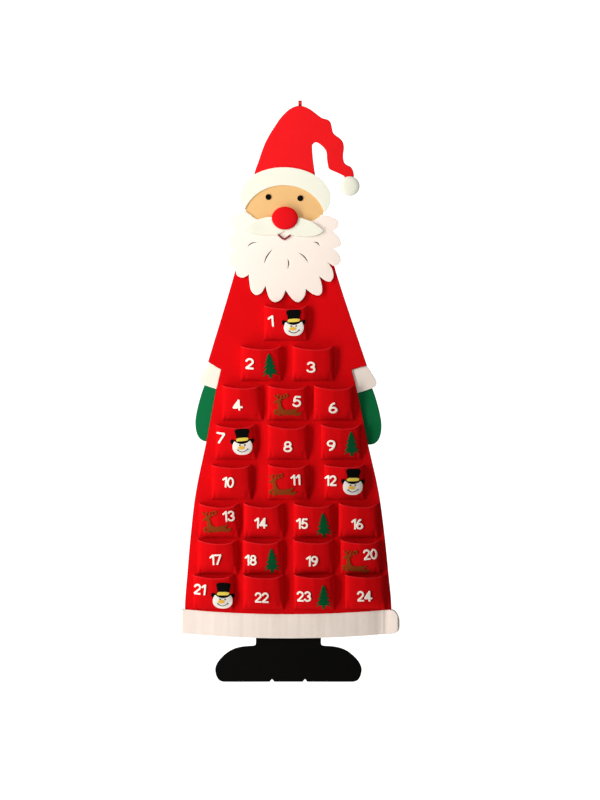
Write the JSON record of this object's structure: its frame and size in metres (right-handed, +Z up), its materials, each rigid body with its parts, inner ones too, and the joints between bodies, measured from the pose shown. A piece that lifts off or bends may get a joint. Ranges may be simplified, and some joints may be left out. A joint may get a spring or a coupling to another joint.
{
  "type": "advent calendar",
  "caption": "Felt Santa wall hanging with rows of bulging open-topped pockets, felt ornaments on some of them, and a ribbon loop to hang it by.",
  "frame": {"origin": "where a nail bears inside the top of the hanging loop, in the middle of the ribbon's width", "axes": "+Z up along the hanging calendar, +X to the viewer's right, -Y out of the front towards the viewer, so +Y is into the wall"},
  "size_m": [0.4106, 0.0302, 1.0967],
  "materials": {
    "red_felt": "matte felt",
    "white_felt": "matte felt",
    "cream_felt": "matte felt",
    "tan_felt": "matte felt",
    "green_felt": "matte felt",
    "brown_felt": "matte felt",
    "black_felt": "matte felt",
    "nose_felt": "matte felt",
    "dark_red_cord": "embroidery cord",
    "red_ribbon": "woven ribbon"
  },
  "bodies": {
    "loop": {"hanging_loop": "red_ribbon"},
    "calendar": {"hat": "red_felt", "robe": "red_felt", "brim": "white_felt", "pompom": "white_felt", "face": "tan_felt", "eye_left": "black_felt", "eye_right": "black_felt", "nose": "nose_felt", "moustache": "white_felt", "mouth": "dark_red_cord", "beard": "cream_felt", "cuff_left": "white_felt", "cuff_right": "white_felt", "mitten_left": "green_felt", "mitten_right": "green_felt", "hem": "cream_felt", "pocket_01": "red_felt", "pocket_02": "red_felt", "pocket_03": "red_felt", "pocket_04": "red_felt", "pocket_05": "red_felt", "pocket_06": "red_felt", "pocket_07": "red_felt", "pocket_08": "red_felt", "pocket_09": "red_felt", "pocket_10": "red_felt", "pocket_11": "red_felt", "pocket_12": "red_felt", "pocket_13": "red_felt", "pocket_14": "red_felt", "pocket_15": "red_felt", "pocket_16": "red_felt", "pocket_17": "red_felt", "pocket_18": "red_felt", "pocket_19": "red_felt", "pocket_20": "red_felt", "pocket_21": "red_felt", "pocket_22": "red_felt", "pocket_23": "red_felt", "pocket_24": "red_felt", "snowman_01": "white_felt", "snowman_07": "white_felt", "snowman_12": "white_felt", "snowman_21": "white_felt", "tree_02": "green_felt", "tree_09": "green_felt", "tree_15": "green_felt", "tree_18": "green_felt", "tree_23": "green_felt", "reindeer_05": "brown_felt", "reindeer_11": "brown_felt", "reindeer_13": "brown_felt", "reindeer_20": "brown_felt"},
    "boots": {"boots": "black_felt"}
  },
  "joints": [
    {"name": "calendar_swing", "type": "hinge", "parent": "loop", "child": "calendar", "pos_m": [0, 0, -0.0085], "axis": [1, 0, 0], "range_deg": [-90, 0]},
    {"name": "boots_flap", "type": "hinge", "parent": "calendar", "child": "boots", "pos_m": [-0.02189, 0.00255, -1.0141], "axis": [1, 0, 0], "range_deg": [-90, 0]}
  ]
}
